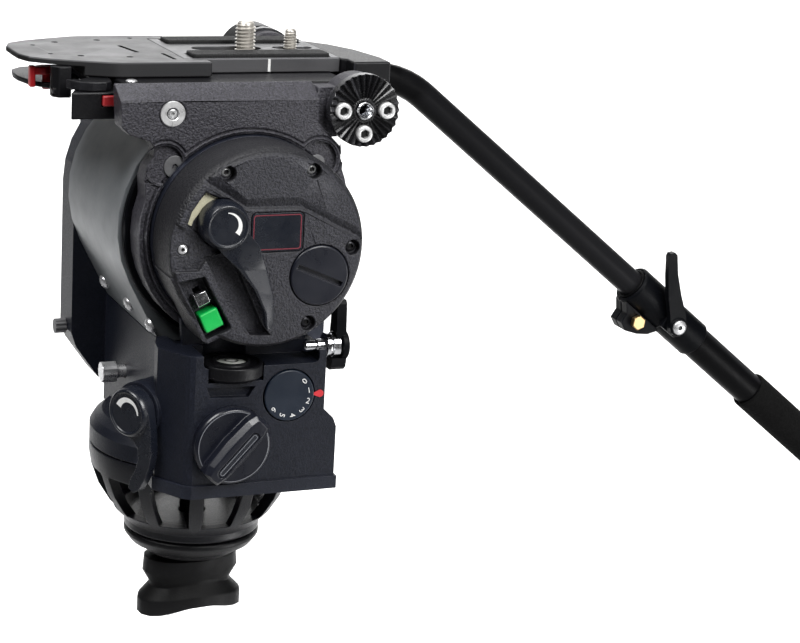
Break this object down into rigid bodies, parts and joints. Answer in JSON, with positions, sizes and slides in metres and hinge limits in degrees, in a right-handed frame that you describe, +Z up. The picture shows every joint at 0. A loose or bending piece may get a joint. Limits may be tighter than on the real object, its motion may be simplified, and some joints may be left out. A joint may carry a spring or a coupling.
{
  "type": "fluid head",
  "caption": "Fluid video head on a half ball: tilting plate saddle on a drum, pan base with drag knob, bubble level, locks, and a telescopic pan bar.",
  "frame": {"origin": "centre of the half ball, on the pan axis", "axes": "+Z up along the pan axis, +X towards the operator and the pan bar's grip, -Y the side with the controls, tilt axis along Y at Z 0.1148"},
  "size_m": [0.5503, 0.2015, 0.3087],
  "materials": {
    "cast_charcoal": "matte",
    "cast_black": "matte",
    "drum_grey": "satin",
    "deck_grey": "satin",
    "plate_grey": "satin",
    "plastic_black": "satin",
    "rubber": "matte",
    "foam": "matte",
    "steel": "polished",
    "brass": "satin",
    "red_anodised": "satin",
    "red_plastic": "satin",
    "green_plastic": "gloss",
    "dial_navy": "satin",
    "vial": "gloss",
    "bar_black": "satin"
  },
  "bodies": {
    "half_ball": {"half_ball": "cast_black", "pan_spindle": "steel", "clamp_stud": "steel"},
    "clamp_disc": {"clamp_disc": "cast_black"},
    "clamp_handle": {"clamp_handle": "plastic_black"},
    "pan_body": {"pan_base": "cast_charcoal", "drum_housing": "drum_grey", "drum_flange": "plastic_black", "side_cover": "cast_charcoal", "label_plate": "dial_navy", "bubble_cup": "cast_black", "bubble_vial": "vial", "button_cell": "steel", "front_stud": "steel", "arm_screw": "steel", "tilt_drag_pack": "drum_grey", "counterbalance_spring": "steel", "bearing_near": "steel", "bearing_far": "steel", "pan_drag_pack": "drum_grey"},
    "tilt_saddle": {"near_cheek": "cast_charcoal", "far_cheek": "cast_charcoal", "tilt_shaft": "steel", "saddle_plate": "cast_black", "front_deck": "deck_grey", "lower_deck": "cast_black", "front_block": "cast_black", "rosette_near": "cast_black", "rosette_far": "cast_black", "rosette_screw_1": "steel", "rosette_screw_2": "steel", "rosette_screw_3": "steel", "cheek_screw": "steel"},
    "camera_plate": {"camera_plate": "plate_grey", "rear_deck": "cast_black", "grip_strip_near": "rubber", "grip_strip_far": "rubber"},
    "camera_screw_large": {"camera_screw_large": "steel"},
    "camera_screw_small": {"camera_screw_small": "steel"},
    "plate_lock_lever": {"plate_lock_lever": "plate_grey"},
    "safety_catch": {"safety_catch": "red_anodised"},
    "red_button": {"red_button": "red_plastic"},
    "tilt_lock_lever": {"tilt_lock_lever": "plastic_black"},
    "pan_lock_lever": {"pan_lock_lever": "plastic_black"},
    "pan_fluid_knob": {"pan_fluid_knob": "plastic_black"},
    "pan_dial": {"pan_dial": "dial_navy"},
    "battery_cap": {"battery_cap": "plastic_black"},
    "green_button": {"green_button": "green_plastic"},
    "light_slider": {"light_slider": "steel"},
    "rear_lever": {"rear_lever": "plastic_black", "lock_rod": "steel"},
    "pan_bar": {"bar_arm": "bar_black"},
    "bar_clamp_knob": {"bar_clamp_knob": "plastic_black"},
    "bar_outer": {"bar_tube": "bar_black", "bar_grip": "foam", "bar_collar": "plastic_black", "collar_bolt": "brass"},
    "collar_lever": {"collar_lever": "plastic_black"}
  },
  "joints": [
    {"name": "pan", "type": "hinge", "parent": "half_ball", "child": "pan_body", "pos_m": [0, 0, 0], "axis": [0, 0, 1], "continuous": true},
    {"name": "clamp_disc_lift", "type": "slide", "parent": "half_ball", "child": "clamp_disc", "axis": [0, 0, 1], "range_m": [-0.003, 0]},
    {"name": "clamp_handle_turn", "type": "hinge", "parent": "clamp_disc", "child": "clamp_handle", "pos_m": [0, 0, -0.07], "axis": [0, 0, 1], "range_deg": [-617, 0]},
    {"name": "tilt", "type": "hinge", "parent": "pan_body", "child": "tilt_saddle", "pos_m": [0, 0, 0.1148], "axis": [0, 1, 0], "range_deg": [-75, 90]},
    {"name": "plate_slide", "type": "slide", "parent": "tilt_saddle", "child": "camera_plate", "axis": [1, 0, 0], "range_m": [0, 0.03]},
    {"name": "camera_screw_large_turn", "type": "hinge", "parent": "camera_plate", "child": "camera_screw_large", "pos_m": [0.018, 0, 0.184], "axis": [0, 0, 1], "continuous": true},
    {"name": "camera_screw_small_turn", "type": "hinge", "parent": "camera_plate", "child": "camera_screw_small", "pos_m": [0.04, 0, 0.184], "axis": [0, 0, 1], "continuous": true},
    {"name": "plate_lock", "type": "hinge", "parent": "tilt_saddle", "child": "plate_lock_lever", "pos_m": [-0.06, -0.016, 0.177], "axis": [0, 0, 1], "range_deg": [-15, 0]},
    {"name": "safety_catch_swing", "type": "hinge", "parent": "tilt_saddle", "child": "safety_catch", "pos_m": [-0.0776, -0.0116, 0.179], "axis": [0, 0, 1], "range_deg": [-20, 20], "stiffness_Nm_per_rad": 0.05},
    {"name": "red_button_press", "type": "slide", "parent": "tilt_saddle", "child": "red_button", "axis": [0, 1, 0], "range_m": [0, 0.001], "stiffness_N_per_m": 300},
    {"name": "tilt_lock", "type": "hinge", "parent": "pan_body", "child": "tilt_lock_lever", "pos_m": [-0.0217, -0.095, 0.1272], "axis": [0, -1, 0], "range_deg": [0, 60]},
    {"name": "pan_lock", "type": "hinge", "parent": "pan_body", "child": "pan_lock_lever", "pos_m": [-0.04551, -0.05987, 0.036], "axis": [-0.866, -0.5, 0], "range_deg": [-60, 15]},
    {"name": "pan_drag_knob", "type": "hinge", "parent": "pan_body", "child": "pan_fluid_knob", "pos_m": [-0.0115, -0.085, 0.0255], "axis": [0, -1, 0], "range_deg": [-66, 24]},
    {"name": "pan_drag_dial", "type": "hinge", "parent": "pan_body", "child": "pan_dial", "pos_m": [0.015, -0.085, 0.046], "axis": [0, -1, 0], "range_deg": [-46, 124]},
    {"name": "battery_cap_turn", "type": "hinge", "parent": "pan_body", "child": "battery_cap", "pos_m": [0.0234, -0.087, 0.1024], "axis": [0, -1, 0], "range_deg": [0, 90]},
    {"name": "green_button_press", "type": "slide", "parent": "pan_body", "child": "green_button", "axis": [0, 1, 0], "range_m": [0, 0.001], "stiffness_N_per_m": 300},
    {"name": "light_switch", "type": "slide", "parent": "pan_body", "child": "light_slider", "axis": [0.4202, 0, -0.9074], "range_m": [-0.002, 0.002]},
    {"name": "rear_lever_turn", "type": "hinge", "parent": "pan_body", "child": "rear_lever", "pos_m": [0.039, -0.08, 0.0666], "axis": [1, 0, 0], "range_deg": [-30, 60]},
    {"name": "bar_angle", "type": "hinge", "parent": "tilt_saddle", "child": "pan_bar", "pos_m": [0.0512, 0.081, 0.1694], "axis": [0, 1, 0], "continuous": true},
    {"name": "bar_clamp_turn", "type": "hinge", "parent": "pan_bar", "child": "bar_clamp_knob", "pos_m": [0.0512, 0.09, 0.1694], "axis": [0, 1, 0], "continuous": true},
    {"name": "bar_extend", "type": "slide", "parent": "pan_bar", "child": "bar_outer", "axis": [0.7777, 0, -0.6286], "range_m": [0, 0.12]},
    {"name": "collar_lever_swing", "type": "hinge", "parent": "bar_outer", "child": "collar_lever", "pos_m": [0.29754, 0.065, 0.02051], "axis": [0, -1, 0], "range_deg": [-90, 0]}
  ],
  "couplings": [
    {"joint": "pan_drag_dial", "follows": "pan_drag_knob", "ratio": -1.8571},
    {"joint": "clamp_handle_turn", "follows": "clamp_disc_lift", "rad_per_m": 3588.4}
  ]
}
